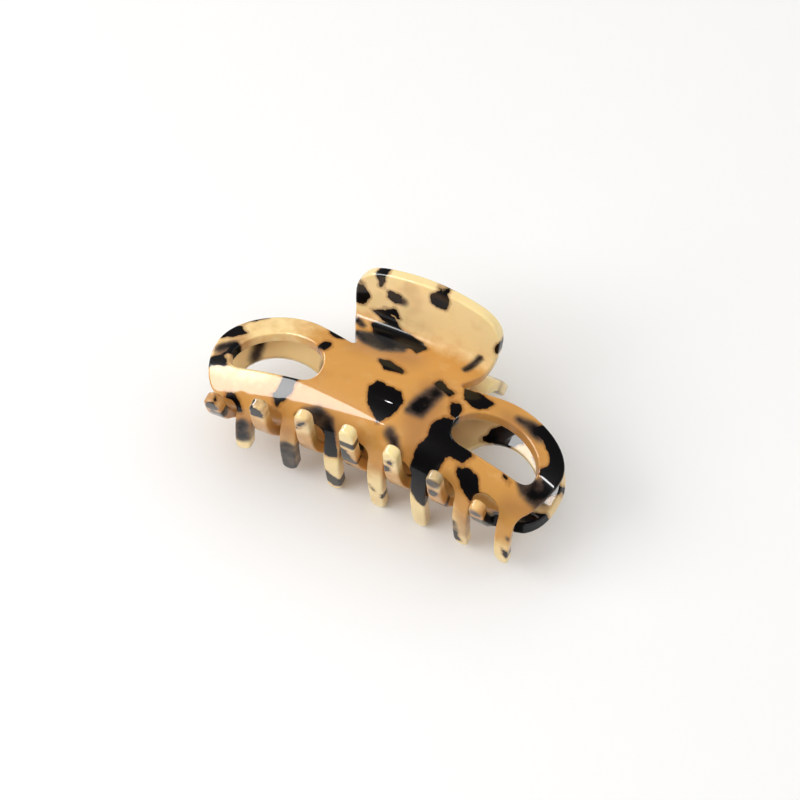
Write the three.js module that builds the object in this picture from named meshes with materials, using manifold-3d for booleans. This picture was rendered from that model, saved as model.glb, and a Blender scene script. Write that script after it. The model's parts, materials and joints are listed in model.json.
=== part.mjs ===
// Hair claw clip: two identical jaws of cellulose acetate sheet, hinged on a steel pin through glued
// acetate lugs and pulled shut by a steel torsion spring.
//
// Each jaw is a flat outline (finger tab, two ears with a D-shaped hole, seven teeth) cut from sheet and
// bent hot. A point of the sheet is named by x (along the hinge), s (along the sheet, from the neck at
// s = 0 forward over the crease to the tooth tips, and back up the tab for s < 0) and n (out of the
// middle of the sheet, towards its outer face).
//
// The jaw frame has its origin on the mid-plane between the jaws: +X along the hinge, +Y towards the tabs
// and +Z out through the upper jaw. The closed clip lies on its side, so the whole jaw frame is tilted.
// Millimetres, +Z up.
import * as THREE from 'three';
import { mergeVertices } from 'three/addons/utils/BufferGeometryUtils.js';
import Module from 'manifold-3d';

const wasm = await Module();
wasm.setup();

// ---------------------------------------------------------------------------------------------------
// Driving dimensions, in millimetres and degrees

const LENGTH = 100;
const SHEET = 3.2;
const TOUCH_GAP = 0.3;

// Section of a jaw
const NECK_HEIGHT = 6.2; // mid-sheet above the mid-plane at s = 0
const NECK_SLOPE = 25.9; // degrees
const NECK_BEND = { length: 7.7, turn: 96 };
const ROOF = { length: 17.1, turn: -12.4 };
const CREASE = { length: 18.8, turn: -82 };
const WALL = { length: 10.4, turn: -20 };
const TOOTH = { length: 15, turn: -5 };
const CUP_RADIUS = 175; // the ears bend towards the mid-plane
const DROOP = 0.002; // the ears sweep forward by DROOP * x * x

// Outline of the finger tab
const NOTCH_X = 14.4;
const NOTCH_S = 7;
const TAB_HALF_WIDTH = 21;
const TAB_WIDEST_S = -12.5;
const TAB_CORNER_S = -21.6;
const TAB_CORNER_X = 14.5;
const TAB_TOP_S = -23.8;
// Handles of the curves that join those points
const TAB_SHOULDER_X = 19;
const TAB_SHOULDER_S = -20;
const TAB_SIDE_S = -17;
const TAB_WAIST_S = -4;
const NOTCH_CURVE_X = 17.6;
const NOTCH_CURVE_S = 2;

// Outline of the ears
const EAR_X = 33;
const EAR_S = 14.5;
const EAR_RADIUS_BACK = 12.5;
const EAR_RADIUS_FRONT = 20;
const EAR_START = 0.65; // pi radians, where the straight edge from the notch meets the ear

// D-shaped hole in each ear
const HOLE_X = 31.7;
const HOLE_S = 18.5;
const HOLE_HALF_WIDTH = 12.4;
const HOLE_RISE = 9.7;
const HOLE_FLAT_S = 22.2;
const HOLE_CORNER = 4.6;

// Teeth
const TEETH = 7;
const LAST_TOOTH = (TEETH - 1) / 2; // the teeth are numbered from the centre one
const TOOTH_PITCH = 12.68;
const TOOTH_OFFSET = 3.4; // the centre tooth stands off the middle, so that the two rows interleave
const TOOTH_WIDTH = 4.7;
const TOOTH_TIP_WIDTH = 4.2;
const TOOTH_ROOT_S = 35.9;
const TOOTH_GAP_RISE = 0.8; // height of a gap's rounded end, as a share of its half width
const TOOTH_ROOT_ARC = 0.003; // the gaps end this much higher, times x squared, to clear the cupped mate
const TOOTH_TIP_S = 59.3;
const TOOTH_TIP_ARC = 1.23; // a tooth ends this much shorter, times its number squared

// Hinge
const HINGE_Y = 1.6;
const PIN_RADIUS = 1;
const PIN_HEAD_RADIUS = 1.9;
const PIN_HEAD = 0.9;
const LUG_RADIUS = 3.3;
const LUG_WIDTH = 4;
const LUG_OUTER_X = 13;
const LUG_INNER_X = 8.4;
const LUG_FOOT_FRONT = 3.4;
const LUG_FOOT_BACK = 6.4;
const LUG_SHOULDER = 0.1 * Math.PI; // above the pin's level, where the knuckle's round meets its sides
const SPRING_RADIUS = 2.6;
const SPRING_WIRE = 1;
const SPRING_COILS = 7;
const SPRING_HALF_LENGTH = 4.5;
const SPRING_LEG_S = -10.5; // where a leg's end presses on the tab

// Attitude on the table, lying on the lower tab and the upper centre teeth
const TILT = 6.6; // degrees

// Mesh fineness
const GRID_X = 5;
const GRID_S = 2.8;
const DOME = 2e-4;
const SLAB_MARGIN = 2;
const CUT_ABOVE = 7;
const CUT_BELOW = 5;
const NECK_CUT = { front: 16, back: -18, columns: 4, rows: 24 };
const WELD = 1e-5;
const EDGE_STEPS = 6;
const EAR_STEPS = 20;
const HOLE_STEPS = 16;
const LUG_STEPS = 20;
const FOOT_STEPS = 8;
const PIN_STEPS = 20;
const COIL_STEPS = 12;
const LEG_STEPS = 4;
const WIRE_STEPS = 3;

// ---------------------------------------------------------------------------------------------------
// Materials

const acetate = (color) => new THREE.MeshStandardMaterial({ color, roughness: 0.12, metalness: 0 });
const steel = () => new THREE.MeshStandardMaterial({ color: 0xb9bcc0, roughness: 0.3, metalness: 1 });
const ACETATE_AMBER = 0xd7a869;
const ACETATE_DARK = 0xb98548;

// ---------------------------------------------------------------------------------------------------
// Solids

function toSolid(geometry) {
  const bare = geometry.clone();
  bare.deleteAttribute('normal');
  bare.deleteAttribute('uv');
  const merged = mergeVertices(bare, WELD);
  const mesh = new wasm.Mesh({
    numProp: 3,
    vertProperties: new Float32Array(merged.getAttribute('position').array),
    triVerts: new Uint32Array(merged.index.array),
  });
  return new wasm.Manifold(mesh);
}

function toGeometry(solid) {
  const mesh = solid.getMesh();
  const geometry = new THREE.BufferGeometry();
  geometry.setAttribute('position', new THREE.BufferAttribute(mesh.vertProperties, 3));
  geometry.setIndex(new THREE.BufferAttribute(mesh.triVerts, 1));
  geometry.computeVertexNormals();
  return geometry;
}

function moveVertices(geometry, place) {
  const position = geometry.getAttribute('position');
  const point = new THREE.Vector3();
  for (let i = 0; i < position.count; i += 1) {
    point.fromBufferAttribute(position, i);
    place(point);
    position.setXYZ(i, point.x, point.y, point.z);
  }
  geometry.computeVertexNormals();
  return geometry;
}

// A side profile, drawn with x for the clip's Y and y for its Z, extruded along the hinge about centreX
function extrudeAlongHinge(profile, centreX, width) {
  const geometry = new THREE.ExtrudeGeometry(profile, {
    depth: width,
    bevelEnabled: false,
    curveSegments: LUG_STEPS,
  });
  geometry.translate(0, 0, -width / 2);
  const turn = new THREE.Matrix4().makeBasis(
    new THREE.Vector3(0, 1, 0),
    new THREE.Vector3(0, 0, 1),
    new THREE.Vector3(1, 0, 0),
  );
  geometry.applyMatrix4(turn);
  geometry.translate(centreX, 0, 0);
  return geometry;
}

// ---------------------------------------------------------------------------------------------------
// The bent sheet

const radians = THREE.MathUtils.degToRad;
const STRAIGHT = { length: 1, turn: 0 };

// Follows one bend of constant curvature for a distance, from a forward position, height and slope
function followBend(from, bend, distance) {
  const curvature = radians(bend.turn) / bend.length;
  const slope = from.slope + curvature * distance;
  if (curvature === 0) {
    return {
      forward: from.forward + Math.cos(slope) * distance,
      height: from.height + Math.sin(slope) * distance,
      slope,
    };
  }
  return {
    forward: from.forward + (Math.sin(slope) - Math.sin(from.slope)) / curvature,
    height: from.height - (Math.cos(slope) - Math.cos(from.slope)) / curvature,
    slope,
  };
}

// Middle of the sheet at s, before cupping: how far forward, how high, and its slope in radians
function section(s) {
  let at = { forward: 0, height: NECK_HEIGHT, slope: radians(NECK_SLOPE) };
  if (s < 0) {
    const neck = Math.max(s, -NECK_BEND.length);
    at = followBend(at, NECK_BEND, neck);
    return followBend(at, STRAIGHT, s - neck);
  }
  let left = s;
  for (const bend of [ROOF, CREASE, WALL, TOOTH]) {
    const distance = Math.min(left, bend.length);
    at = followBend(at, bend, distance);
    left -= distance;
  }
  return followBend(at, STRAIGHT, left);
}

// The ears bend down and sweep forward. The tab stays flat, as both fade out over the neck bend.
function cupping(x, s) {
  const share = THREE.MathUtils.clamp(1 + s / NECK_BEND.length, 0, 1);
  return {
    drop: (share * x * x) / (2 * CUP_RADIUS),
    slope: (share * x) / CUP_RADIUS,
    sweep: share * DROOP * x * x,
  };
}

// Turns a flat sheet point (x, s, n) into its place in the jaw frame
function bendPoint(point) {
  const { x, y: s, z: n } = point;
  const mid = section(s);
  const cup = cupping(x, s);
  const up = Math.cos(mid.slope);
  const out = new THREE.Vector3(cup.slope * up, Math.sin(mid.slope), up);
  out.normalize().multiplyScalar(n);
  point.set(x, -(mid.forward + cup.sweep), mid.height - cup.drop).add(out);
}

// Bends a flat sheet solid. As s runs against Y, the bend mirrors it, so its faces are turned over.
function bendSheet(geometry) {
  const order = geometry.index.array;
  for (let i = 0; i < order.length; i += 3) {
    [order[i], order[i + 1]] = [order[i + 1], order[i]];
  }
  return moveVertices(geometry, bendPoint);
}

// ---------------------------------------------------------------------------------------------------
// Outline of a jaw, drawn with x along the hinge and y for s

const toothX = (number) => number * TOOTH_PITCH + TOOTH_OFFSET;
const toothRoot = (x) => TOOTH_ROOT_S - TOOTH_ROOT_ARC * x * x;
const toothTip = (number) => TOOTH_TIP_S - TOOTH_TIP_ARC * number * number;

function drawRightTab(shape) {
  shape.moveTo(0, TAB_TOP_S);
  shape.quadraticCurveTo(TAB_CORNER_X / 2, TAB_TOP_S, TAB_CORNER_X, TAB_CORNER_S);
  shape.bezierCurveTo(
    TAB_SHOULDER_X, TAB_SHOULDER_S,
    TAB_HALF_WIDTH, TAB_SIDE_S,
    TAB_HALF_WIDTH, TAB_WIDEST_S,
  );
  shape.bezierCurveTo(
    TAB_HALF_WIDTH, TAB_WAIST_S,
    NOTCH_CURVE_X, NOTCH_CURVE_S,
    NOTCH_X, NOTCH_S,
  );
}

// The same curve as drawRightTab mirrored, from the left notch back to the top centre
function drawLeftTab(shape) {
  shape.bezierCurveTo(
    -NOTCH_CURVE_X, NOTCH_CURVE_S,
    -TAB_HALF_WIDTH, TAB_WAIST_S,
    -TAB_HALF_WIDTH, TAB_WIDEST_S,
  );
  shape.bezierCurveTo(
    -TAB_HALF_WIDTH, TAB_SIDE_S,
    -TAB_SHOULDER_X, TAB_SHOULDER_S,
    -TAB_CORNER_X, TAB_CORNER_S,
  );
  shape.quadraticCurveTo(-TAB_CORNER_X / 2, TAB_TOP_S, 0, TAB_TOP_S);
}

const EAR_HALF_WIDTH = LENGTH / 2 - EAR_X;

function earPoint(angle) {
  const rise = Math.sin(angle) > 0 ? EAR_RADIUS_BACK : EAR_RADIUS_FRONT;
  return new THREE.Vector2(EAR_X + EAR_HALF_WIDTH * Math.cos(angle), EAR_S - rise * Math.sin(angle));
}

// Points of the right ear's edge, from beside the notch round its end to where the first tooth starts
function earEdge() {
  const start = EAR_START * Math.PI;
  const end = -Math.acos((toothX(LAST_TOOTH) + TOOTH_WIDTH / 2 - EAR_X) / EAR_HALF_WIDTH);
  const points = [];
  for (let i = 0; i <= EAR_STEPS; i += 1) {
    points.push(earPoint(THREE.MathUtils.lerp(start, end, i / EAR_STEPS)));
  }
  return points;
}

function drawTeeth(shape) {
  const half = TOOTH_WIDTH / 2;
  const tip = TOOTH_TIP_WIDTH / 2;
  const gap = (TOOTH_PITCH - TOOTH_WIDTH) / 2;
  for (let number = LAST_TOOTH; number >= -LAST_TOOTH; number -= 1) {
    const x = toothX(number);
    const gapX = x - half - gap;
    shape.lineTo(x + tip, toothTip(number) - tip);
    shape.absarc(x, toothTip(number) - tip, tip, 0, Math.PI, false);
    shape.lineTo(x - half, toothRoot(gapX));
    if (number > -LAST_TOOTH) {
      shape.absellipse(gapX, toothRoot(gapX), gap, gap * TOOTH_GAP_RISE, 0, Math.PI, true);
    }
  }
}

function jawOutline() {
  const shape = new THREE.Shape();
  drawRightTab(shape);
  const right = earEdge();
  right.forEach((point) => shape.lineTo(point.x, point.y));
  drawTeeth(shape);
  right.reverse().forEach((point) => shape.lineTo(-point.x, point.y));
  shape.lineTo(-NOTCH_X, NOTCH_S);
  drawLeftTab(shape);
  return shape;
}

function earHole(side) {
  const hole = new THREE.Path();
  const left = HOLE_X - HOLE_HALF_WIDTH;
  const right = HOLE_X + HOLE_HALF_WIDTH;
  hole.moveTo(side * left, HOLE_S);
  for (let i = 1; i <= HOLE_STEPS; i += 1) {
    const angle = Math.PI * (1 - i / HOLE_STEPS);
    const x = HOLE_X + HOLE_HALF_WIDTH * Math.cos(angle);
    hole.lineTo(side * x, HOLE_S - HOLE_RISE * Math.sin(angle));
  }
  hole.quadraticCurveTo(side * right, HOLE_FLAT_S, side * (right - HOLE_CORNER), HOLE_FLAT_S);
  hole.lineTo(side * (left + HOLE_CORNER), HOLE_FLAT_S);
  hole.quadraticCurveTo(side * left, HOLE_FLAT_S, side * left, HOLE_S);
  return hole;
}

// ---------------------------------------------------------------------------------------------------
// Jaw: the outline cut through a gridded slab, then bent. The slab is domed very slightly while it is cut,
// so that each cell of its grid keeps a plane of its own, and flattened again before the bend.

function jawGeometry() {
  const back = TAB_TOP_S - SLAB_MARGIN;
  const front = TOOTH_TIP_S + SLAB_MARGIN;
  const width = LENGTH + 2 * SLAB_MARGIN;
  const columns = Math.round(width / GRID_X);
  const rows = Math.round((front - back) / GRID_S);
  const slab = new THREE.BoxGeometry(width, front - back, SHEET, columns, rows, 1);
  slab.translate(0, (front + back) / 2, 0);
  const dome = (point) => DOME * (point.x * point.x + point.y * point.y);
  moveVertices(slab, (point) => point.setZ(point.z + dome(point)));

  const outline = jawOutline();
  outline.holes.push(earHole(1), earHole(-1));
  const cutter = new THREE.ExtrudeGeometry(outline, {
    depth: CUT_ABOVE + CUT_BELOW,
    bevelEnabled: false,
    curveSegments: EDGE_STEPS,
  });
  cutter.translate(0, 0, -CUT_BELOW);

  const sheet = toGeometry(toSolid(slab).intersect(toSolid(cutter)));
  moveVertices(sheet, (point) => point.setZ(point.z - dome(point)));
  return bendSheet(sheet);
}

function makeJaw(name, color) {
  const jaw = new THREE.Mesh(jawGeometry(), acetate(color));
  jaw.name = name;
  return jaw;
}

// ---------------------------------------------------------------------------------------------------
// Hinge lugs: a knuckle round the pin, with a foot that follows the inside of the neck

function lugProfile() {
  const profile = new THREE.Shape();
  const foot = [];
  for (let i = 0; i <= FOOT_STEPS; i += 1) {
    const mid = section(THREE.MathUtils.lerp(LUG_FOOT_FRONT, -LUG_FOOT_BACK, i / FOOT_STEPS));
    foot.push(new THREE.Vector2(-mid.forward, mid.height));
  }
  profile.moveTo(foot[0].x, foot[0].y);
  foot.slice(1).forEach((point) => profile.lineTo(point.x, point.y));
  profile.absarc(HINGE_Y, 0, LUG_RADIUS, LUG_SHOULDER, Math.PI - LUG_SHOULDER, true);
  profile.closePath();
  const bore = new THREE.Path();
  bore.absarc(HINGE_Y, 0, PIN_RADIUS + TOUCH_GAP, 0, Math.PI * 2, false);
  profile.holes.push(bore);
  return profile;
}

// The part of the bent sheet over a lug, thicker by the gap that the glue line takes
function neckCutter(centreX) {
  const { front, back, columns, rows } = NECK_CUT;
  const width = LUG_WIDTH + SLAB_MARGIN;
  const patch = new THREE.BoxGeometry(width, front - back, SHEET + 2 * TOUCH_GAP, columns, rows, 1);
  patch.translate(centreX, (front + back) / 2, 0);
  return bendSheet(patch);
}

function makeLug(name, centreX, color) {
  const block = toSolid(extrudeAlongHinge(lugProfile(), centreX, LUG_WIDTH));
  const lug = new THREE.Mesh(toGeometry(block.subtract(toSolid(neckCutter(centreX)))), acetate(color));
  lug.name = name;
  return lug;
}

// One jaw with its two lugs, in the jaw frame with the tab towards +Y
function makeJawGroup(side, color) {
  const group = new THREE.Group();
  group.add(makeJaw(`${side}_jaw`, color));
  group.add(makeLug(`${side}_outer_lug`, LUG_OUTER_X, color));
  group.add(makeLug(`${side}_inner_lug`, -LUG_INNER_X, color));
  return group;
}

// ---------------------------------------------------------------------------------------------------
// Hinge pin, a straight rod with a head formed over the outer lug at each end

function makePin() {
  const shank = LUG_OUTER_X + LUG_WIDTH / 2 + TOUCH_GAP;
  const end = shank + PIN_HEAD;
  const profile = [
    [0, -end],
    [PIN_HEAD_RADIUS, -end],
    [PIN_HEAD_RADIUS, -shank],
    [PIN_RADIUS, -shank],
    [PIN_RADIUS, shank],
    [PIN_HEAD_RADIUS, shank],
    [PIN_HEAD_RADIUS, end],
    [0, end],
  ].map(([radius, along]) => new THREE.Vector2(radius, along));
  const pin = new THREE.Mesh(new THREE.LatheGeometry(profile, PIN_STEPS), steel());
  pin.name = 'hinge_pin';
  pin.rotation.z = -Math.PI / 2;
  pin.position.y = HINGE_Y;
  return pin;
}

// ---------------------------------------------------------------------------------------------------
// Torsion spring: a coil round the pin, with a leg back to the inside of each tab

// Where a leg's end rests, in the jaw frame: inside of the tab, a touch gap off its face
function legEnd(up) {
  const mid = section(SPRING_LEG_S);
  const inside = SHEET / 2 + TOUCH_GAP + SPRING_WIRE / 2;
  const y = -mid.forward - inside * Math.sin(mid.slope);
  return new THREE.Vector2(y, up * (mid.height - inside * Math.cos(mid.slope)));
}

// The angle on the coil where a straight leg leaves it towards its end
function legAngle(up) {
  const end = legEnd(up);
  const reach = Math.hypot(end.x - HINGE_Y, end.y);
  return Math.atan2(end.y, end.x - HINGE_Y) - up * Math.acos(SPRING_RADIUS / reach);
}

function onCoil(angle, x) {
  const y = HINGE_Y + SPRING_RADIUS * Math.cos(angle);
  return new THREE.Vector3(x, y, SPRING_RADIUS * Math.sin(angle));
}

function springPath() {
  const start = legAngle(1);
  const extra = THREE.MathUtils.euclideanModulo(legAngle(-1) - start, Math.PI * 2);
  const turn = SPRING_COILS * Math.PI * 2 + extra;
  const coilStart = onCoil(start, -SPRING_HALF_LENGTH);
  const coilEnd = onCoil(start + turn, SPRING_HALF_LENGTH);
  const legStart = new THREE.Vector3(-SPRING_HALF_LENGTH, legEnd(1).x, legEnd(1).y);
  const legFinish = new THREE.Vector3(SPRING_HALF_LENGTH, legEnd(-1).x, legEnd(-1).y);
  const points = [];
  for (let i = 0; i < LEG_STEPS; i += 1) {
    points.push(legStart.clone().lerp(coilStart, i / LEG_STEPS));
  }
  const steps = SPRING_COILS * COIL_STEPS;
  for (let i = 0; i <= steps; i += 1) {
    points.push(onCoil(start + (turn * i) / steps, SPRING_HALF_LENGTH * ((2 * i) / steps - 1)));
  }
  for (let i = 1; i <= LEG_STEPS; i += 1) {
    points.push(coilEnd.clone().lerp(legFinish, i / LEG_STEPS));
  }
  return new THREE.CatmullRomCurve3(points, false, 'centripetal');
}

function makeSpring() {
  const wire = new THREE.Shape();
  wire.absarc(0, 0, SPRING_WIRE / 2, 0, Math.PI * 2, false);
  const geometry = new THREE.ExtrudeGeometry(wire, {
    steps: SPRING_COILS * COIL_STEPS + 2 * LEG_STEPS + 2,
    curveSegments: WIRE_STEPS,
    extrudePath: springPath(),
  });
  const spring = new THREE.Mesh(geometry, steel());
  spring.name = 'torsion_spring';
  return spring;
}

// ---------------------------------------------------------------------------------------------------
// Assembly. The lower jaw is the upper one turned half a turn about the clip's Y, as the two are alike.

const clip = new THREE.Group();
const upper = makeJawGroup('upper', ACETATE_AMBER);
const lower = makeJawGroup('lower', ACETATE_DARK);
lower.rotation.y = Math.PI;
clip.add(upper, lower, makePin(), makeSpring());
clip.rotation.x = radians(TILT);

// The origin is under the middle of the clip, on the table
const clawClip = new THREE.Group();
clawClip.add(clip);
clawClip.updateMatrixWorld(true);
const box = new THREE.Box3().setFromObject(clawClip, true);
const middle = box.getCenter(new THREE.Vector3());
clip.position.set(-middle.x, -middle.y, -box.min.z);

export default clawClip;
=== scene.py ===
"""Hair claw clip in blonde tortoiseshell acetate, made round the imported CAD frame.

The two jaws are rebuilt as bent sheets with polished, rounded edges. A point of a jaw's flat
sheet is named by x (along the hinge), s (along the sheet: 0 at the neck, forward over the crease
to the tooth tips, and negative up the finger tab) and n (out of the middle of the sheet). Sheet
sizes are in millimetres and the scene is in metres.
"""
import json
import math

import bpy  # noqa: E402
import numpy as np  # noqa: E402
from mathutils import Matrix, Vector  # noqa: E402
from mathutils.geometry import delaunay_2d_cdt  # noqa: E402


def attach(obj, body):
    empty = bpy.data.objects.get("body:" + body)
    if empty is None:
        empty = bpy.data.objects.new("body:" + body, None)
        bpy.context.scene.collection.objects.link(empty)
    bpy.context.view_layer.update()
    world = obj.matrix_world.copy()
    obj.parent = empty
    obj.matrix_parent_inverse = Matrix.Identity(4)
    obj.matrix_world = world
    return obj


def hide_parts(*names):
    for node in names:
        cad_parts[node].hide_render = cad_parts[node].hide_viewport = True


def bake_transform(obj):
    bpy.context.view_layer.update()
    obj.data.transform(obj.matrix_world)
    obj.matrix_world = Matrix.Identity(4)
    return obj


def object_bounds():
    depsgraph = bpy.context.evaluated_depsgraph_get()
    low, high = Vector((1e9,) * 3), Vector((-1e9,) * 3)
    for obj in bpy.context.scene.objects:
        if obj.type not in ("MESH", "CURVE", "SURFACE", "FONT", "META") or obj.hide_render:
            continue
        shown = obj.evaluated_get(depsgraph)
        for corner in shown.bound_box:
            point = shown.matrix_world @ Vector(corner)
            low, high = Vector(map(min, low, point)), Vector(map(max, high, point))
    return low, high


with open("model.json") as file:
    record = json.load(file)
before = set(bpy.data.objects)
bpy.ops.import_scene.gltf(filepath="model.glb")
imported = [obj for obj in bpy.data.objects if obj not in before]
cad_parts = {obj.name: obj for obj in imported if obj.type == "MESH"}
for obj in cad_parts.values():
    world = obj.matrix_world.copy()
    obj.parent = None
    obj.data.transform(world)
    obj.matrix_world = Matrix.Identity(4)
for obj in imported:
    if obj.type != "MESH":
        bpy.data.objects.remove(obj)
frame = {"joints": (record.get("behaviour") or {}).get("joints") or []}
CAD_LOW, CAD_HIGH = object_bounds()
MM = 0.001

# ----------------------------------------------------------------------------------------
# Sizes of the clip, as in the CAD model, where only TOUCH_GAP is wider

SHEET = 3.2
NECK_HEIGHT = 6.2
NECK_SLOPE = 25.9
NECK_BEND = (7.7, 96)
FRONT_BENDS = ((17.1, -12.4), (18.8, -82), (10.4, -20), (15, -5))
CUP_RADIUS = 175
DROOP = 0.002

LENGTH = 100
NOTCH_X, NOTCH_S = 14.4, 7
TAB_HALF_WIDTH = 21
TAB_WIDEST_S = -12.5
TAB_CORNER_X, TAB_CORNER_S = 14.5, -21.6
TAB_SHOULDER_X, TAB_SHOULDER_S = 19, -20
TAB_SIDE_S, TAB_WAIST_S = -17, -4
TAB_TOP_S = -23.8
NOTCH_CURVE_X, NOTCH_CURVE_S = 17.6, 2
EAR_X, EAR_S = 33, 14.5
EAR_RADIUS_BACK, EAR_RADIUS_FRONT = 12.5, 20
EAR_START = 0.65  # pi radians, where the straight edge from the notch meets the ear
HOLE_X, HOLE_S = 31.7, 18.5
HOLE_HALF_WIDTH, HOLE_RISE = 12.4, 9.7
HOLE_FLAT_S, HOLE_CORNER = 22.2, 4.6
TOOTH_NUMBERS = range(3, -4, -1)
TOOTH_PITCH, TOOTH_OFFSET = 12.68, 3.4
TOOTH_WIDTH, TOOTH_TIP_WIDTH = 4.7, 4.2
TOOTH_ROOT_S, TOOTH_ROOT_ARC = 35.9, 0.003
TOOTH_TIP_S, TOOTH_TIP_ARC = 59.3, 1.23
TOOTH_GAP_RISE = 0.8  # height of a gap's rounded end, as a share of its half width

HINGE_Y = 1.6
TILT = math.radians(6.6)
TOUCH_GAP = 0.05  # round the pin, under its heads, and at the ends of the spring's legs
PIN_RADIUS, PIN_HEAD_RADIUS, PIN_HEAD = 1, 1.9, 0.9
PIN_HEAD_GAP, PIN_CHAMFER = 0.3, 0.2
PIN_TIP_RADIUS = 0.01
LUG_RADIUS, LUG_WIDTH = 3.3, 4
LUG_OUTER_X, LUG_INNER_X = 13, 8.4
LUG_FOOT_FRONT, LUG_FOOT_BACK = 3.4, -6.4
LUG_FOOT_END, LUG_GLUE = 0.8, 0.02  # height of the foot's blunt ends, and the glue line
LUG_ARC = (0.1 * math.pi, -1.1 * math.pi)  # the knuckle's round, from one side to the other
SPRING_RADIUS, SPRING_WIRE, SPRING_COILS = 2.6, 1, 7
SPRING_HALF_LENGTH = 4.5
SPRING_LEG_S = -10.5
SPRING_TIP = 0.6  # width of the wire's cut ends, as a share of the wire

# Looks
EDGE_RADIUS = 0.65
EDGE_STEPS = 5
OUTLINE_STEP = 0.45
EAR_POINTS = 60
FACE_STEP = 0.95
CORNER_ANGLE = 18  # degrees, the turn from which a point of an outline is a corner
CORNER_REACH = 3.0  # points on each side that its rounding takes in
CORNER_SMOOTHING = 30
RING_CLEARANCE = 0.6  # of a face step, kept free of inner points along the outline
LUG_EDGE_RADIUS = 0.25
LUG_OUTLINE_STEP, LUG_FACE_STEP = 0.3, 0.6
LUG_FOOT_POINTS, LUG_ARC_STEPS = 24, 40
PIN_SIDES, PIN_HEAD_STEPS = 32, 10
PIN_CREASE = math.radians(50)
WIRE_SIDES, COIL_STEPS, LEG_STEPS = 12, 32, 12

# The jaw frame's origin, half way between the jaws and HINGE_Y in front of the hinge
HINGE = Vector(frame["joints"][0]["pos_m"])
ORIGIN = np.array(HINGE) - MM * HINGE_Y * np.array([0, math.cos(TILT), math.sin(TILT)])


# ----------------------------------------------------------------------------------------
# The bent sheet

def follow_bend(at, bend, distance):
    """Follows one bend of constant curvature, from a forward position, a height and a slope."""
    forward, height, slope = at
    length, turn = bend
    if not turn:
        return forward + np.cos(slope) * distance, height + np.sin(slope) * distance, slope
    curvature = math.radians(turn) / length
    end = slope + curvature * distance
    return (
        forward + (np.sin(end) - np.sin(slope)) / curvature,
        height - (np.cos(end) - np.cos(slope)) / curvature,
        end,
    )


def section(s):
    """Middle of the sheet at s before cupping: how far forward, how high, and its slope."""
    slope = np.full_like(s, math.radians(NECK_SLOPE))
    at = (np.zeros_like(s), np.full_like(s, NECK_HEIGHT), slope)
    neck = s.clip(-NECK_BEND[0], 0)
    at = follow_bend(at, NECK_BEND, neck)
    at = follow_bend(at, (1, 0), s.clip(max=0) - neck)
    left = s.clip(min=0)
    for bend in FRONT_BENDS:
        distance = np.minimum(left, bend[0])
        at = follow_bend(at, bend, distance)
        left = left - distance
    return follow_bend(at, (1, 0), left)


def unit(vectors):
    return vectors / np.linalg.norm(vectors, axis=-1, keepdims=True)


def bend_sheet(flat, flat_normals):
    """Bends sheet points (x, s, n) and their normals into the jaw frame."""
    x, s, n = flat.T
    forward, height, slope = section(s)
    share = np.clip(1 + s / NECK_BEND[0], 0, 1)
    lean = share * x / CUP_RADIUS * np.cos(slope)
    out = unit(np.stack([lean, np.sin(slope), np.cos(slope)], -1))
    drop = share * x * x / (2 * CUP_RADIUS)
    sweep = share * DROOP * x * x
    points = np.stack([x, -(forward + sweep), height - drop], -1) + out * n[:, None]
    down_sheet = unit(np.stack([np.zeros_like(s), -np.cos(slope), np.sin(slope)], -1))
    across = unit(np.cross(out, down_sheet))
    across *= np.sign(across[:, :1])
    down_sheet = unit(down_sheet - out * (out * down_sheet).sum(-1, keepdims=True))
    axes = np.stack([across, down_sheet, out], 1)
    return points, unit((flat_normals[:, :, None] * axes).sum(1))


def to_world(vectors, lower=False):
    """Turns the jaw frame's vectors to the scene. The lower jaw is the upper one turned over."""
    x, y, z = (vectors * (-1, 1, -1) if lower else vectors).T
    cos, sin = math.cos(TILT), math.sin(TILT)
    return np.stack([x, y * cos - z * sin, y * sin + z * cos], -1)


def place(points, lower=False):
    """The jaw frame's points, in millimetres, to the scene, in metres."""
    return to_world(points, lower) * MM + ORIGIN


# ----------------------------------------------------------------------------------------
# Outlines, as arrays of (x, s)

def curve_points(*controls, steps=16):
    """Points on a Bezier curve with any number of control points, without its first point."""
    t = np.linspace(0, 1, steps + 1)[1:, None]
    control = [np.array(c, float) for c in controls]
    while len(control) > 1:
        control = [a * (1 - t) + b * t for a, b in zip(control, control[1:])]
    return control[0]


def arc_points(centre, radii, start, end, steps=20):
    angle = np.linspace(start, end, steps + 1)
    x, y = centre[0] + radii[0] * np.cos(angle), centre[1] + radii[1] * np.sin(angle)
    return np.stack([x, y], -1)


def tooth_x(number):
    return number * TOOTH_PITCH + TOOTH_OFFSET


def tab_edge():
    """The right half of the finger tab, from its top middle down to the notch."""
    top = (0, TAB_TOP_S)
    corner = (TAB_CORNER_X, TAB_CORNER_S)
    shoulder = (TAB_SHOULDER_X, TAB_SHOULDER_S)
    widest = (TAB_HALF_WIDTH, TAB_WIDEST_S)
    notch_curve = (NOTCH_CURVE_X, NOTCH_CURVE_S)
    return np.concatenate([
        [top],
        curve_points(top, (TAB_CORNER_X / 2, TAB_TOP_S), corner),
        curve_points(corner, shoulder, (TAB_HALF_WIDTH, TAB_SIDE_S), widest),
        curve_points(widest, (TAB_HALF_WIDTH, TAB_WAIST_S), notch_curve, (NOTCH_X, NOTCH_S)),
    ])


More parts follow.
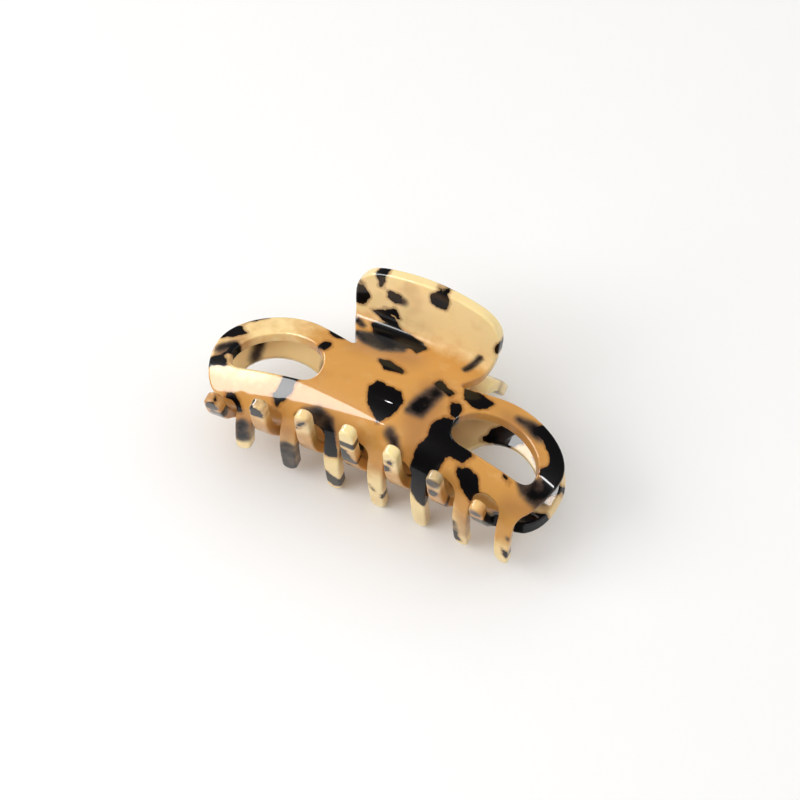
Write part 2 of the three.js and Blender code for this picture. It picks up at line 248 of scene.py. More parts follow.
def ear_edge():
    """The right ear's edge, from beside the notch round its end to the first tooth."""
    reach = LENGTH / 2 - EAR_X
    end = -math.acos((tooth_x(TOOTH_NUMBERS[0]) + TOOTH_WIDTH / 2 - EAR_X) / reach)
    angle = np.linspace(EAR_START * math.pi, end, EAR_POINTS)
    rise = np.where(np.sin(angle) > 0, EAR_RADIUS_BACK, EAR_RADIUS_FRONT)
    return np.stack([EAR_X + reach * np.cos(angle), EAR_S - rise * np.sin(angle)], -1)


def teeth_edge():
    half, tip = TOOTH_WIDTH / 2, TOOTH_TIP_WIDTH / 2
    gap = (TOOTH_PITCH - TOOTH_WIDTH) / 2
    edge = []
    for number in TOOTH_NUMBERS:
        x = tooth_x(number)
        tip_s = TOOTH_TIP_S - TOOTH_TIP_ARC * number * number
        edge.append(arc_points((x, tip_s - tip), (tip, tip), 0, math.pi))
        gap_x = x - half - gap
        root = TOOTH_ROOT_S - TOOTH_ROOT_ARC * gap_x * gap_x
        if number > TOOTH_NUMBERS[-1]:
            edge.append(arc_points((gap_x, root), (gap, -gap * TOOTH_GAP_RISE), 0, math.pi))
        else:
            edge.append([(x - half, root)])
    return np.concatenate(edge)


def jaw_edge():
    right = np.concatenate([tab_edge(), ear_edge()])
    left = right[:0:-1] * (-1, 1)
    return np.concatenate([right, teeth_edge(), left])


def hole_edge(side):
    left, right = HOLE_X - HOLE_HALF_WIDTH, HOLE_X + HOLE_HALF_WIDTH
    flat = HOLE_FLAT_S
    edge = np.concatenate([
        arc_points((HOLE_X, HOLE_S), (HOLE_HALF_WIDTH, -HOLE_RISE), math.pi, 0),
        curve_points((right, HOLE_S), (right, flat), (right - HOLE_CORNER, flat)),
        curve_points((left + HOLE_CORNER, flat), (left, flat), (left, HOLE_S))[:-1],
    ])
    return edge * (side, 1)


# ----------------------------------------------------------------------------------------
# Flat plates with rounded edges

def resample(loop, step):
    """A closed loop as evenly spaced points."""
    closed = np.concatenate([loop, loop[:1]])
    along = np.concatenate([[0], np.cumsum(np.linalg.norm(np.diff(closed, axis=0), axis=1))])
    count = round(along[-1] / step)
    wanted = np.linspace(0, along[-1], count, endpoint=False)
    return np.stack([np.interp(wanted, along, closed[:, k]) for k in (0, 1)], -1)


def soften_corners(loop):
    """Rounds the loop's sharp corners, and leaves its curves as they are."""
    ahead = unit(np.roll(loop, -1, 0) - loop)
    behind = np.roll(ahead, 1, 0)
    turn = np.degrees(np.arccos((ahead * behind).sum(-1).clip(-1, 1)))
    sharp = np.flatnonzero(turn > CORNER_ANGLE)
    index = np.arange(len(loop))
    weight = np.zeros(len(loop))
    for corner in sharp:
        away = np.abs((index - corner + len(loop) // 2) % len(loop) - len(loop) // 2)
        weight = np.maximum(weight, np.exp(-((away / CORNER_REACH) ** 2)))
    for _ in range(CORNER_SMOOTHING):
        middle = (np.roll(loop, 1, 0) + np.roll(loop, -1, 0)) / 2
        loop = loop + (middle - loop) * weight[:, None]
    return loop


def inward(loop):
    """Directions into the material for a loop with the material on its left, and their stretch."""
    along = unit(np.roll(loop, -1, 0) - loop)
    normal = np.stack([-along[:, 1], along[:, 0]], -1)
    both = normal + np.roll(normal, 1, 0)
    return unit(both), 2 / np.linalg.norm(both, axis=-1, keepdims=True)


def oriented(loop, is_hole):
    """The loop turned so that its material is on the left."""
    area = np.cross(loop, np.roll(loop, -1, 0)).sum()
    return loop if (area > 0) != is_hole else loop[::-1]


def is_inside(points, loops):
    inside = np.zeros(len(points), bool)
    for loop in loops:
        for a, b in zip(loop, np.roll(loop, -1, 0)):
            if a[1] == b[1]:
                continue
            spans = (a[1] > points[:, 1]) != (b[1] > points[:, 1])
            crossing = a[0] + (points[:, 1] - a[1]) * (b[0] - a[0]) / (b[1] - a[1])
            inside ^= spans & (points[:, 0] < crossing)
    return inside


def distance_to(points, loop, closed=True):
    """Distance from each point to the loop's nearest side."""
    ends = np.roll(loop, -1, 0) if closed else loop[1:]
    nearest = np.full(len(points), np.inf)
    for a, b in zip(loop, ends):
        side = b - a
        share = ((points - a) @ side / max(side @ side, 1e-12)).clip(0, 1)
        nearest = np.minimum(nearest, np.linalg.norm(points - a - share[:, None] * side, axis=-1))
    return nearest


def fill(rings, step):
    """Triangles that fill the rings, and the inner points that they need."""
    every = np.concatenate(rings)
    low, high = every.min(0), every.max(0)
    columns, rows = (np.ceil((high - low) / step)).astype(int)
    across, down = np.meshgrid(np.arange(columns), np.arange(rows))
    grid = low + step * np.stack([across.ravel() + 0.5 * (down.ravel() % 2), down.ravel()], -1)
    grid = grid[is_inside(grid, rings)]
    for ring in rings:
        grid = grid[distance_to(grid, ring) > RING_CLEARANCE * step]
    edges, start = [], 0
    for ring in rings:
        count = len(ring)
        edges += [(start + i, start + (i + 1) % count) for i in range(count)]
        start += count
    points = np.concatenate([every, grid])
    made = delaunay_2d_cdt([Vector(p) for p in points], edges, [], 0, 1e-6)
    triangles = np.array(made[2])
    if len(made[0]) != len(points):
        raise ValueError("the outline crosses itself")
    centres = points[triangles].mean(1)
    return grid, triangles[is_inside(centres, rings)]


def plate(loops, thickness, edge_radius, step):
    """A flat plate with rounded edges: points (x, s, n), their normals, and its faces."""
    loops = [oriented(loop, i > 0) for i, loop in enumerate(loops)]
    angles = np.linspace(0, math.pi / 2, EDGE_STEPS + 1)
    flat_half = thickness / 2 - edge_radius
    points, normals, faces, starts = [], [], [], []
    total = 0
    for side in (1, -1):
        for angle in angles:
            starts.append(total)
            for loop in loops:
                into, stretch = inward(loop)
                inset = edge_radius * (1 - math.cos(angle))
                n = side * (flat_half + edge_radius * math.sin(angle))
                ring = loop + into * stretch * inset
                points.append(np.column_stack([ring, np.full(len(ring), n)]))
                up = np.full(len(ring), side * math.sin(angle))
                normals.append(np.column_stack([-into * math.cos(angle), up]))
                total += len(ring)
    inner = [loop + inward(loop)[0] * inward(loop)[1] * edge_radius for loop in loops]
    grid, triangles = fill(inner, step)
    ring_size = sum(len(loop) for loop in loops)
    face_start = {}
    for side in (1, -1):
        face_start[side] = total
        points.append(np.column_stack([grid, np.full(len(grid), side * thickness / 2)]))
        normals.append(np.tile([0, 0, side], (len(grid), 1)))
        total += len(grid)

    def strip(low, high):
        offset = 0
        for loop in loops:
            count = len(loop)
            for i in range(count):
                j = (i + 1) % count
                near, far = low + offset, high + offset
                faces.append((near + i, near + j, far + j, far + i))
            offset += count

    rows = len(angles)
    for k in range(rows - 1):
        strip(starts[k], starts[k + 1])
        strip(starts[rows + k + 1], starts[rows + k])
    strip(starts[rows], starts[0])
    for side, last in ((1, starts[rows - 1]), (-1, starts[-1])):
        on_grid = triangles - ring_size + face_start[side]
        index = np.where(triangles < ring_size, triangles + last, on_grid)
        faces.extend(map(tuple, index if side > 0 else index[:, ::-1]))
    return np.concatenate(points), np.concatenate(normals).astype(float), faces


def make_object(name, points, faces, normals=None):
    mesh = bpy.data.meshes.new(name)
    corners = [tuple(int(i) for i in face) for face in faces]
    mesh.from_pydata([tuple(p) for p in points], [], corners)
    mesh.validate()
    mesh.shade_smooth()
    if normals is not None:
        mesh.normals_split_custom_set_from_vertices([tuple(n) for n in normals])
    piece = bpy.data.objects.new(name, mesh)
    bpy.context.scene.collection.objects.link(piece)
    return piece


# ----------------------------------------------------------------------------------------
# Tortoiseshell: where the dark patches of each jaw lie, as corners (x, s) in its own sheet. One
# corner is a dot and two are a streak. SHARP patches are (radius, corners). SMOKY ones, and the
# brown clouds of HAZE, are (radius, blur, corners).

UPPER_SHARP = (
    # Finger tab
    (0.3, [(-17.5, -22.5), (-16.8, -24), (-12.8, -24.5), (-13.3, -19), (-14.3, -17.4),
           (-15.1, -20.8)]),
    (0.5, [(-21.5, -14.8), (-18.8, -14.9), (-17, -12.6), (-18.6, -8.9), (-21.5, -9)]),
    (0.4, [(-11.6, -16.8), (-8.4, -16.8), (-7.9, -14.6), (-9.6, -13.8), (-11.4, -15)]),
    (0.5, [(0.6, -21.4), (2, -23.2), (4.2, -23.4), (5.1, -21.6), (4.6, -18.8), (2.6, -18.2),
           (0.8, -19.2)]),
    (0.2, [(-12.6, -10.2), (-9, -11.2), (-7.6, -8.8), (-9.6, -9)]),
    (0.2, [(-15.6, -7.8), (-12, -9.6), (-9.4, -8.4), (-6.2, -4), (-8.6, -4), (-12, -5.8)]),
    (0.2, [(22, -15.5), (20, -12.6), (20.3, -10.4), (22, -10.2)]),
    # Neck and roof
    (0.3, [(-14.6, -3.4), (-9, -4.6), (-4, -3.8), (0, -2.6), (2, -1), (0.4, 2), (-2.2, 1.4),
           (-4, 2.6), (-8, 3.4), (-12.4, 1)]),
    (0.3, [(-6.8, 9.4), (-4.4, 8.8), (-1, 9.6), (1, 10.6), (-1.2, 11.3), (-4.2, 11.7)]),
    (0.2, [(-5, 18.6), (-3.4, 16.3), (-0.8, 16.8), (2.9, 16.9), (4.8, 19.4), (4, 22.6),
           (1.2, 26.2), (-3.9, 22)]),
    (0.2, [(9.2, 10), (10.3, 7.8), (12.5, 9.1), (15.4, 9.8), (14.4, 11.2), (11.4, 10.7)]),
    (0.3, [(17, 6.8), (21, 5.8), (25, 6.4), (24.3, 9), (21.5, 10.7), (18.6, 9.9)]),
    (0.3, [(16, 13.2), (17.6, 12.2), (19.2, 13.6), (19.4, 17), (17.3, 16.3)]),
    (0.4, [(14.4, 21.4), (16.2, 18.6), (19.3, 17.5), (22, 20.4), (27.4, 23.3), (25.2, 25.2),
           (17, 26), (15, 24.3)]),
    (0.3, [(13.3, 27.2), (15.2, 24.6), (21, 24.8), (20.4, 29), (18.9, 33), (18.7, 44),
           (16, 42.8), (13.4, 38)]),
    (0.3, [(25, 27.5), (27.5, 26.3), (30.6, 26.6), (32.6, 30.6), (33.8, 34.4), (31, 32.4),
           (28.2, 31)]),
    (0.3, [(36.6, 22.7), (38.5, 23.5)]),
    # Right ear
    (0.3, [(37, 6), (39.5, 2.5), (46, 5), (51, 12), (51, 20), (47.2, 19.4), (45.6, 16.4),
           (45.6, 12.6), (44, 10), (41, 7.6)]),
    (0.2, [(44, 16), (45.2, 14.2), (46.8, 16.4), (45.4, 18)]),
    # Left ear
    (0.3, [(-50, 13.6), (-48.6, 10), (-46.4, 8.6), (-43.8, 11.2), (-46, 12.6)]),
    (0.4, [(-45.4, 6.4), (-41, 3.6)]),
    (0.3, [(-44.9, 15.2), (-43.8, 15.8), (-44.2, 18.4), (-45.7, 18.4)]),
    (0.3, [(-49, 21.2), (-46.5, 19.2), (-43.4, 22), (-49.2, 22.8)]),
    (0.3, [(-23.2, 10.9), (-22.6, 9.3), (-21, 8.9), (-20.5, 10.2), (-21.4, 11.7)]),
    (0.3, [(-24, 3), (-20.5, 4.2), (-18.8, 6), (-20.8, 6.3), (-22.6, 5.4)]),
    (0.3, [(-27.3, 22), (-23.7, 22), (-23.9, 25.5), (-24.6, 27.2), (-26.2, 29.6),
           (-28.3, 27.5), (-27.1, 26)]),
    (0.3, [(-41, 29), (-38.6, 29.1), (-36.5, 31.2), (-35.6, 33.2), (-39, 31.2)]),
    (0.4, [(-20.4, 30.6), (-19.3, 29.2), (-17.7, 30.2), (-17.9, 32.2), (-19.3, 32.3)]),
    (0.3, [(-13.2, 32.4), (-10, 32), (-8.2, 35.2), (-7.6, 39.4), (-10, 40.6), (-12, 38)]),
    (0.3, [(-28.8, 32.4), (-27, 34), (-26.4, 36.2), (-28.4, 36)]),
    # Teeth
    (0.3, [(-12, 47.6), (-9, 50.6), (-6.6, 52), (-6.8, 55), (-9, 56), (-11.4, 53)]),
    (0.25, [(1.8, 46.6), (3, 49)]),
    (0.3, [(5.5, 50.4), (5.2, 52)]),
    (0.3, [(26.3, 47), (27.8, 48), (28.7, 51.4), (27.5, 52.7), (26.3, 51)]),
    (0.2, [(41.8, 40.8), (43.1, 41.2), (43.6, 43.3), (42.7, 43)]),
)
UPPER_HAZE = (
    (3, 4, [(-14, 6), (0, 5)]),
    (2.5, 3, [(9, 12), (13, 16), (12, 27), (9, 22)]),
    (2.5, 3, [(-14, 30), (-5, 33)]),
    (2, 3, [(38, 12), (42, 16)]),
    (2, 3, [(30, 8), (36, 10)]),
    (2, 2.5, [(30, 40), (30, 46)]),
    (2, 3, [(-47, 18), (-44, 14)]),
    (2, 3, [(41, 28), (46, 26)]),
    (2, 2.5, [(-34, 36), (-36, 40)]),
    (2, 2.5, [(-22, 36), (-23, 42)]),
)
UPPER_SMOKY = (
    (0.6, 1.6, [(-20.8, -16.5), (-19.2, -16)]),
    (1.4, 1.6, [(-7.4, -15.2)]),
    (0.9, 0.9, [(16.4, -6.4), (13.8, 0.4)]),
    (0.8, 1.2, [(-17.6, 2.4), (-13.6, 1.4), (-9, 2), (-3, 1.8), (-3, 3.4), (-8, 5.6),
                (-13.4, 5)]),
    (0.9, 1.2, [(-18.6, -2.6), (-16.4, -1)]),
    (0.6, 1.7, [(10.2, 10), (12.8, 11.4), (12.2, 15), (11, 20.4), (6.8, 20.6), (7.8, 15.4)]),
    (1.4, 1.8, [(5, 27.2), (6.4, 28), (8.6, 31)]),
    (1.2, 1.8, [(33, 6.4), (37, 5), (40, 8)]),
    (1, 1.5, [(46.8, 18), (49.6, 20.5), (47, 24.2), (43, 23.6), (41.2, 22), (44, 20)]),
    (1.6, 1.6, [(-47.4, 17.4), (-45.4, 16)]),
    (0.8, 1.3, [(-18.4, 29), (-15, 28), (-11, 29.6), (-9.6, 33), (-12, 35), (-16, 33)]),
    (2.2, 1.6, [(-34.6, 37.4), (-34.6, 42)]),
    (2.6, 1.4, [(-22, 42.5), (-22, 54)]),
    (0.6, 1.4, [(27.3, 43), (27.8, 47)]),
    (0.5, 1.3, [(43, 36)]),
)
LOWER_SHARP = (
    # Tooth tips
    (0.7, [(41, 47.4), (42.3, 46.8), (42, 44.2), (40.6, 44.6)]),
    (0.7, [(39.6, 41.6), (41.4, 42.2), (41.6, 38.6), (39.8, 38.2)]),
    (0.9, [(28.2, 53), (29.6, 53), (29.4, 50.2), (28, 50.4)]),
    (0.3, [(15, 56.6), (16.6, 55), (17.4, 51.6)]),
    (0.3, [(1.2, 43), (5.8, 42), (5.8, 50.4), (4.2, 49.6), (2.8, 45.6)]),
    (0.35, [(-10.2, 54.8), (-9.4, 52.4), (-8.4, 53.2)]),
    (0.35, [(-8.6, 50.6), (-7.2, 50), (-7.4, 46.8), (-8.4, 48)]),
    (0.6, [(-22.8, 47.4), (-21, 47.6), (-21.4, 44.8)]),
    (0.3, [(-37.4, 33), (-31.4, 33), (-32, 41.6), (-37.2, 42.8)]),
    # Round the openings
    (0.3, [(-23.4, 10), (-25.4, 6), (-28.6, 3.6), (-31.6, 3.6), (-34.4, 6), (-31, 8.6)]),
    (0.3, [(-36.4, 5), (-39.4, 3), (-44, 8), (-46, 13), (-43.6, 13.4), (-40, 8.6)]),
    (0.3, [(-36, 30.4), (-41, 26.6), (-46, 22.6), (-51, 20.4), (-51, 30), (-46, 38), (-38, 38)]),
    (0.3, [(-50.5, 12), (-47.8, 12.6), (-48.4, 15.6)]),
)
LOWER_SMOKY = (
    (1.4, 1.8, [(43, 5), (42.2, 12)]),
    (1, 1.6, [(24.8, 2.6), (24, 9.4)]),
    (1.4, 0.8, [(1.6, 53), (5.2, 53)]),
    (2.2, 1.2, [(-22, 52)]),
    (1.8, 1.4, [(-34.6, 45.6)]),
    (1.4, 1.8, [(-19, -8), (-18.6, -13)]),
    (1, 1.6, [(-46.4, 18)]),
)
LOWER_HAZE = (
    (3, 4, [(-20, 4), (-30, 0)]),
    (2, 3, [(-47, 12), (-47, 18)]),
    (3, 4, [(8, 20), (-8, 24)]),
)
# Where along s each jaw's deeper amber fades in and out
UPPER_AMBER = (-11, 33)
LOWER_AMBER = (16, 43)
AMBER_FADE = 13
# The back of the left ear is paler, from this x outwards and from this s backwards
PALE_EAR = 0.7
PALE_EAR_X, PALE_EAR_FADE_X = 20, 15
PALE_EAR_S, PALE_EAR_FADE_S = 22, 6

LOWER_SEED = 11
LOWER_SCATTER = 34
SCATTER_TRIES = 600
SCATTER_LOW, SCATTER_HIGH = (-48, -23), (48, 40)
SCATTER_SIZES = (1, 2.6)
SCATTER_SPACING = 5.5
SCATTER_CORNERS = 6
SCATTER_RADIUS = 0.3
FAR_FROM_INK = 30.0


def scattered_patches():
    """Patches over the rest of the lower jaw, clear of the ones above."""
    draw = np.random.default_rng(LOWER_SEED)
    taken = [np.mean(corners, 0) for _, corners in LOWER_SHARP]
    taken += [np.mean(corners, 0) for _, _, corners in LOWER_SMOKY]
    made = []
    for _ in range(SCATTER_TRIES):
        x, s = draw.uniform(SCATTER_LOW, SCATTER_HIGH)
        size = draw.uniform(*SCATTER_SIZES)
        if min(math.dist((x, s), other) for other in taken) < SCATTER_SPACING + size:
            continue
        taken.append((x, s))
        turn = draw.uniform(0, math.pi)
        cos, sin = math.cos(turn), math.sin(turn)
        angles = np.sort(draw.uniform(0, 2 * math.pi, SCATTER_CORNERS))
        reach = size * draw.uniform(0.7, 1.3, SCATTER_CORNERS)
        u, v = reach * np.cos(angles) * 1.4, reach * np.sin(angles) * 0.9
        corners = np.stack([x + u * cos - v * sin, s + u * sin + v * cos], -1)
        made.append((SCATTER_RADIUS, corners))
        if len(made) == LOWER_SCATTER:
            break
    return made


def patch_distance(points, corners):
    """Distance to a patch, negative inside it."""
    corners = np.array(corners, float)
    if len(corners) == 1:
        return np.linalg.norm(points - corners[0], axis=-1)
    distance = distance_to(points, corners, closed=len(corners) > 2)
    if len(corners) < 3:
        return distance
    return np.where(is_inside(points, [corners]), -distance, distance)


def smooth_step(value):
    value = np.clip(value, 0, 1)
    return value * value * (3 - 2 * value)


def cloud_cover(points, patches):
    """How much of each point the blurred patches cover, from 0 to 1."""
    cover = np.zeros(len(points))
    for radius, blur, corners in patches:
        past_edge = patch_distance(points, corners) - radius
        cover = np.maximum(cover, smooth_step(0.5 - past_edge / (2 * blur)))
    return cover


def paint_patches(mesh, flat, sharp, smoky, haze, amber):
    """Stores how far each point is from the sharp patches, its smoke and haze, and its amber."""
    at = flat[:, :2]
    ink = np.full(len(at), FAR_FROM_INK)
    for radius, corners in sharp:
        ink = np.minimum(ink, patch_distance(at, corners) - radius)
    smoke, brown = cloud_cover(at, smoky), cloud_cover(at, haze)
    x, s = at.T
    starts, ends = (smooth_step((s - limit) / AMBER_FADE) for limit in amber)
    outwards = smooth_step((-x - PALE_EAR_X) / PALE_EAR_FADE_X)
    forwards = smooth_step((s - PALE_EAR_S) / PALE_EAR_FADE_S)
    deep = starts * (1 - ends) * (1 - PALE_EAR * outwards * (1 - forwards))
    for name, values in (("ink", ink), ("smoke", smoke), ("haze", brown), ("deep", deep)):
        layer = mesh.attributes.new(name, "FLOAT", "POINT")
        layer.data.foreach_set("value", values.astype(np.float32))


# ----------------------------------------------------------------------------------------
# Materials

# Pale blonde acetate, made brighter than the real sheet: painted light standing in for light that
# shines through the thin finger tab
AMBER_PALE_AND_BACKLIGHT = (0.97, 0.735, 0.37, 1)
AMBER_DEEP = (0.63, 0.315, 0.08, 1)
AMBER_BROWN = (0.40, 0.185, 0.065, 1)
AMBER_RIM = (0.20, 0.055, 0.012, 1)
SMOKE = (0.085, 0.055, 0.04, 1)
INK = (0.0015, 0.001, 0.0015, 1)
# Noise scales, per metre of the object, and how far or how strongly each shows
RAGGED_SCALE, RAGGED_REACH = 520, 1.5
CLOUD_SCALE, CLOUD_REACH = 240, 1.1
MOTTLE_SCALE, MOTTLE_SHARE = 75, 0.4
LUG_CLOUD_SCALE = 150
HAZE_SHARE, RIM_SHARE, SMOKE_SHARE = 0.75, 0.55, 0.97

# The clear gloss of tumbled acetate, a little translucent
ACETATE = {
    "Roughness": 0.3,
    "IOR": 1.49,
    "Specular IOR Level": 0.08,
    "Coat Weight": 0.6,
    "Coat Roughness": 0.02,
    "Subsurface Weight": 0.3,
    "Subsurface Radius": (1, 0.6, 0.3),
    "Subsurface Scale": 0.004,
}

STEEL_BRIGHT = (0.82, 0.82, 0.84, 1)
STEEL_ROUGHNESS, STEEL_MARKS_ROUGHNESS = 0.16, 0.18
STEEL_MARK_STRENGTH, STEEL_MARK_DEPTH = 0.15, 0.00002
PIN_STEEL, PIN_GRAIN = (0.62, 0.62, 0.64, 1), 900
WIRE_STEEL, WIRE_GRAIN = (0.5, 0.5, 0.53, 1), 1400


class Nodes:
    """A material's node tree, with short ways to add and join nodes."""

    def __init__(self, name):
        self.material = bpy.data.materials.new(name)
        self.material.use_nodes = True
        self.tree = self.material.node_tree
        self.shader = self.tree.nodes["Principled BSDF"]

    def add(self, kind, **settings):
        node = self.tree.nodes.new(kind)
        for key, value in settings.items():
            setattr(node, key, value)
        return node

    def feed(self, socket, source):
        if isinstance(source, bpy.types.NodeSocket):
            self.tree.links.new(source, socket)
        else:
            socket.default_value = source

    def math(self, operation, a, b=0.0):
        node = self.add("ShaderNodeMath", operation=operation)
        self.feed(node.inputs[0], a)
        self.feed(node.inputs[1], b)
        return node.outputs[0]

    def blend(self, share, a, b):
        node = self.add("ShaderNodeMix", data_type="RGBA")
        self.feed(node.inputs["Factor"], share)
        self.feed(node.inputs[6], a)
        self.feed(node.inputs[7], b)
        return node.outputs[2]

    def remap(self, value, low, high):
        node = self.add("ShaderNodeMapRange", interpolation_type="SMOOTHSTEP")
        self.feed(node.inputs["Value"], value)
        self.feed(node.inputs["From Min"], low)
        self.feed(node.inputs["From Max"], high)
        return node.outputs["Result"]

    def noise(self, scale, detail=2.0):
        node = self.add("ShaderNodeTexNoise")
        self.feed(node.inputs["Vector"], self.add("ShaderNodeTexCoord").outputs["Object"])
        self.feed(node.inputs["Scale"], scale)
        self.feed(node.inputs["Detail"], detail)
        return node.outputs["Fac"]

    def centred_noise(self, scale, reach):
        """Fine noise about zero."""
        return self.math("MULTIPLY", self.math("SUBTRACT", self.noise(scale, 4), 0.5), reach)

    def attribute(self, name):
        return self.add("ShaderNodeAttribute", attribute_name=name).outputs["Fac"]


def acetate(nodes, colour):
    """Finishes a material as polished acetate of that colour."""
    nodes.feed(nodes.shader.inputs["Base Color"], colour)
    for name, value in ACETATE.items():
        nodes.shader.inputs[name].default_value = value
    return nodes.material


def tortoiseshell(name):
    """Amber with brown clouds, and over it smoke and then the sharp patches' ragged ink."""
    nodes = Nodes(name)
    ragged = nodes.centred_noise(RAGGED_SCALE, RAGGED_REACH)
    ink = nodes.math("ADD", nodes.attribute("ink"), ragged)
    cloud = nodes.centred_noise(CLOUD_SCALE, CLOUD_REACH)
    clouded = nodes.math("MULTIPLY", cloud, nodes.attribute("smoke"))
    smoke = nodes.math("ADD", nodes.attribute("smoke"), clouded)
    deep = nodes.math("ADD", nodes.attribute("deep"), cloud)
    # The pale end of this blend carries painted light, as if the thin tab were lit through from
    # behind
    clear = nodes.blend(nodes.remap(deep, 0.0, 1.0), AMBER_PALE_AND_BACKLIGHT, AMBER_DEEP)
    haze = nodes.math("MULTIPLY", nodes.attribute("haze"), HAZE_SHARE)
    mottle = nodes.remap(nodes.noise(MOTTLE_SCALE, 2), 0.5, 0.75)
    cloudy = nodes.math("MAXIMUM", haze, nodes.math("MULTIPLY", mottle, MOTTLE_SHARE))
    amber = nodes.blend(cloudy, clear, AMBER_BROWN)
    rim = nodes.math("MULTIPLY", nodes.remap(ink, 1.0, 0.05), RIM_SHARE)
    rimmed = nodes.blend(rim, amber, AMBER_RIM)
    veil = nodes.math("MULTIPLY", nodes.remap(smoke, 0.05, 0.8), SMOKE_SHARE)
    smoked = nodes.blend(veil, rimmed, SMOKE)
    darker = nodes.blend(nodes.remap(smoke, 0.6, 1.1), smoked, INK)
    return acetate(nodes, nodes.blend(nodes.remap(ink, 0.16, -0.12), darker, INK))


def plain_amber(name):
    """Unpatched acetate for the lugs, with a slight cloudiness."""
    nodes = Nodes(name)
    cloud = nodes.remap(nodes.noise(LUG_CLOUD_SCALE, 3), 0.15, 1.0)
    return acetate(nodes, nodes.blend(cloud, AMBER_PALE_AND_BACKLIGHT, AMBER_DEEP))


def steel(name, colour, grain):
    """Bright steel with fine drawing marks."""
    nodes = Nodes(name)
    marks = nodes.noise(grain, 4)
    nodes.feed(nodes.shader.inputs["Base Color"], nodes.blend(marks, colour, STEEL_BRIGHT))
    rough = nodes.math("MULTIPLY", marks, STEEL_MARKS_ROUGHNESS)
    nodes.feed(nodes.shader.inputs["Roughness"], nodes.math("ADD", rough, STEEL_ROUGHNESS))
    nodes.shader.inputs["Metallic"].default_value = 1
    bump = nodes.add("ShaderNodeBump")
    bump.inputs["Strength"].default_value = STEEL_MARK_STRENGTH
    bump.inputs["Distance"].default_value = STEEL_MARK_DEPTH
    nodes.feed(bump.inputs["Height"], marks)
    nodes.feed(nodes.shader.inputs["Normal"], bump.outputs["Normal"])
    return nodes.material


# ----------------------------------------------------------------------------------------
# Pieces

def finish_piece(piece, material, body, node):
    piece.data.materials.append(material)
    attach(piece, body)
    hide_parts(node)
    return piece


def jaw_plate():
    loops = [jaw_edge(), hole_edge(1), hole_edge(-1)]
    loops = [soften_corners(resample(loop, OUTLINE_STEP)) for loop in loops]
    return plate(loops, SHEET, EDGE_RADIUS, FACE_STEP)


def make_jaw(side, sheet, sharp, smoky, haze, amber):
    flat, flat_normals, faces = sheet
    points, normals = bend_sheet(flat, flat_normals)
    lower = side == "lower"
    # s runs against the clip's Y, so the bend mirrors the sheet and its faces are turned over
    faces = [face[::-1] for face in faces]
    name = side + "_jaw_sheet"
    piece = make_object(name, place(points, lower), faces, to_world(normals, lower))
    paint_patches(piece.data, flat, sharp, smoky, haze, amber)
    material = tortoiseshell("tortoiseshell_" + side)
    return finish_piece(piece, material, side, side + "_jaw")


def lug_loops():
    """Side view of a lug in the jaw frame: its foot and knuckle, and the pin's bore.

    The foot follows the jaw's middle, so at a lug's own x it is sunk up to 0.73 mm in the cupped jaw.
    """
    s = np.linspace(LUG_FOOT_FRONT, LUG_FOOT_BACK, LUG_FOOT_POINTS)
    s = np.concatenate([s[:1], s, s[-1:]])
    n = np.full_like(s, -SHEET / 2 - LUG_GLUE)
    n[[0, -1]] -= LUG_FOOT_END
    up = np.tile([0.0, 0, 1], (len(s), 1))
    foot = bend_sheet(np.stack([np.zeros_like(s), s, n], -1), up)[0][:, 1:]
    pin = (HINGE_Y, 0)
    bore_radius = PIN_RADIUS + TOUCH_GAP
    knuckle = arc_points(pin, (LUG_RADIUS, LUG_RADIUS), *LUG_ARC, LUG_ARC_STEPS)
    bore = arc_points(pin, (bore_radius, bore_radius), 0, 2 * math.pi, LUG_ARC_STEPS)[:-1]
    loops = (np.concatenate([foot, knuckle]), bore)
    return [soften_corners(resample(loop, LUG_OUTLINE_STEP)) for loop in loops]


def make_lug(side, kind, x, sheet, material):
    flat, flat_normals, faces = sheet
    lower = side == "lower"

    def stand_up(vectors):
        return np.stack([vectors[:, 2], vectors[:, 0], vectors[:, 1]], -1)

    points = stand_up(flat) + (x, 0, 0)
    normals = to_world(stand_up(flat_normals), lower)
    name = f"{side}_{kind}_lug"
    piece = make_object(name + "_knuckle", place(points, lower), faces, normals)
    return finish_piece(piece, material, side, name)


def make_pin(material):
    """The hinge pin, a straight rod with a domed head at each end."""
    shank = LUG_OUTER_X + LUG_WIDTH / 2 + TOUCH_GAP
    end = LUG_OUTER_X + LUG_WIDTH / 2 + PIN_HEAD_GAP + PIN_HEAD
    shoulder = (PIN_HEAD_RADIUS, shank + PIN_CHAMFER)
    dome = (PIN_HEAD_RADIUS, end), (PIN_RADIUS, end), (PIN_TIP_RADIUS, end)
    half = np.concatenate([
        [(PIN_RADIUS, 0), (PIN_RADIUS, shank), (PIN_HEAD_RADIUS - PIN_CHAMFER, shank), shoulder],
        curve_points(shoulder, *dome, steps=PIN_HEAD_STEPS),
    ])
    profile = np.concatenate([half[:0:-1] * (1, -1), half])
    around = np.linspace(0, 2 * math.pi, PIN_SIDES, endpoint=False)
    points = [
        (along, HINGE_Y + radius * math.cos(angle), radius * math.sin(angle))
        for radius, along in profile
        for angle in around
    ]
    faces = []
    last = (len(profile) - 1) * PIN_SIDES
    for ring in range(0, last, PIN_SIDES):
        for j in range(PIN_SIDES):
            k = (j + 1) % PIN_SIDES
            faces.append((ring + j, ring + k, ring + PIN_SIDES + k, ring + PIN_SIDES + j))
    faces.append(tuple(range(PIN_SIDES))[::-1])
    faces.append(tuple(range(last, last + PIN_SIDES)))
    piece = make_object("hinge_pin_rod", place(np.array(points)), faces)
    crease = piece.modifiers.new("crease", "EDGE_SPLIT")
    crease.split_angle = PIN_CREASE
    return finish_piece(piece, material, "lower", "hinge_pin")


